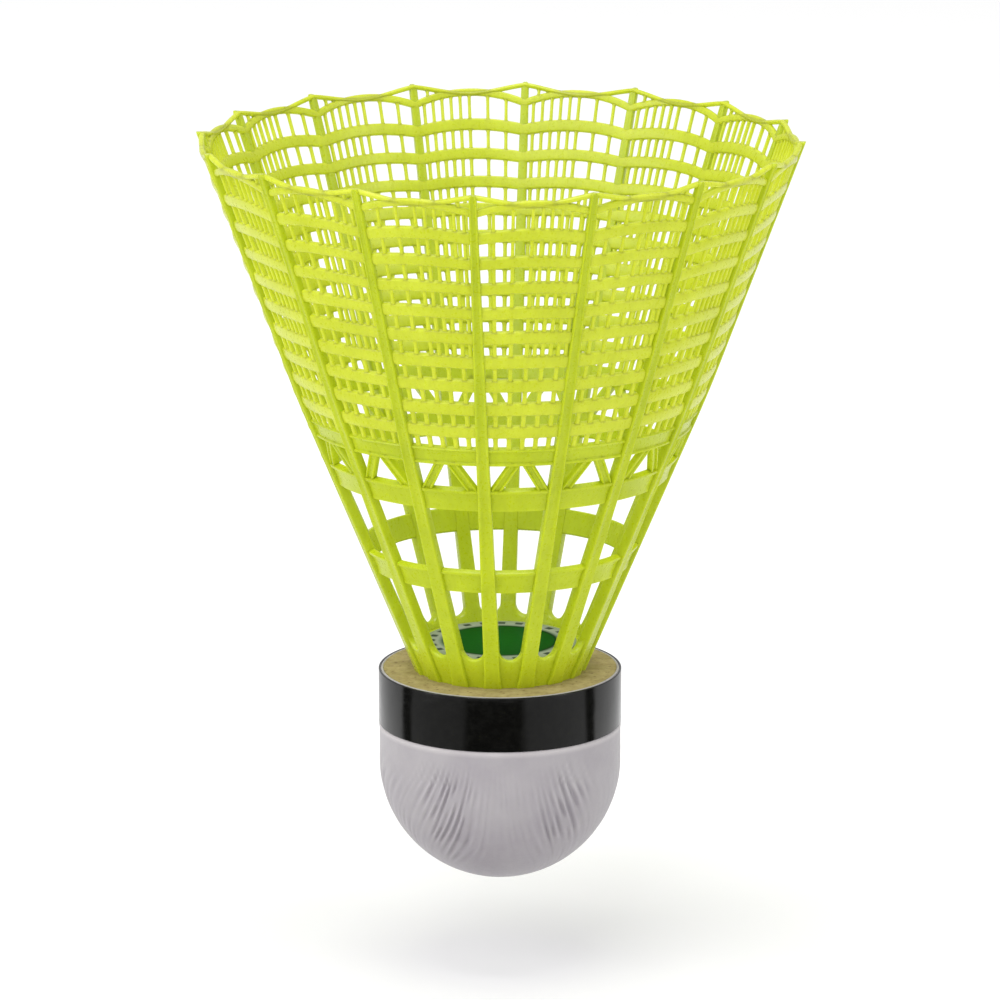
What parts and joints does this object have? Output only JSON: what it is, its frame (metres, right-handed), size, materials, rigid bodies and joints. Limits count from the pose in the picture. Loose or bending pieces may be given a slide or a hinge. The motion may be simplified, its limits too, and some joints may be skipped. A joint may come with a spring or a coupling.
{
  "type": "badminton shuttlecock",
  "caption": "Badminton shuttlecock with a round-nosed cork head in a leather cover, a glossy ribbon band and a flared, ribbed net skirt of moulded nylon.",
  "frame": {"origin": "lowest point of the round nose, on the shuttlecock's axis, and the middle of its bounding box in X and Y", "axes": "+Z runs along the axis from the nose to the rim of the skirt; +X points at one of the ribs"},
  "size_m": [0.0654, 0.0654, 0.0818],
  "materials": {
    "cork": "matt cut cork with fine dark grain",
    "leather": "white bonded leather, slightly wrinkled at the nose",
    "band": "glossy black ribbon",
    "glue": "clear, slightly yellow adhesive",
    "nylon": "neon yellow-green nylon, satin and slightly translucent",
    "label": "green printed paper disc with a pale outer ring"
  },
  "bodies": {
    "root": {"cork_core": "cork", "leather_cover": "leather", "head_band": "band", "stem_glue": "glue", "stem_and_collar": "nylon", "stem_label": "label", "skirt_ribs": "nylon", "lower_ring": "nylon", "truss_band": "nylon", "skirt_net": "nylon"}
  },
  "joints": []
}
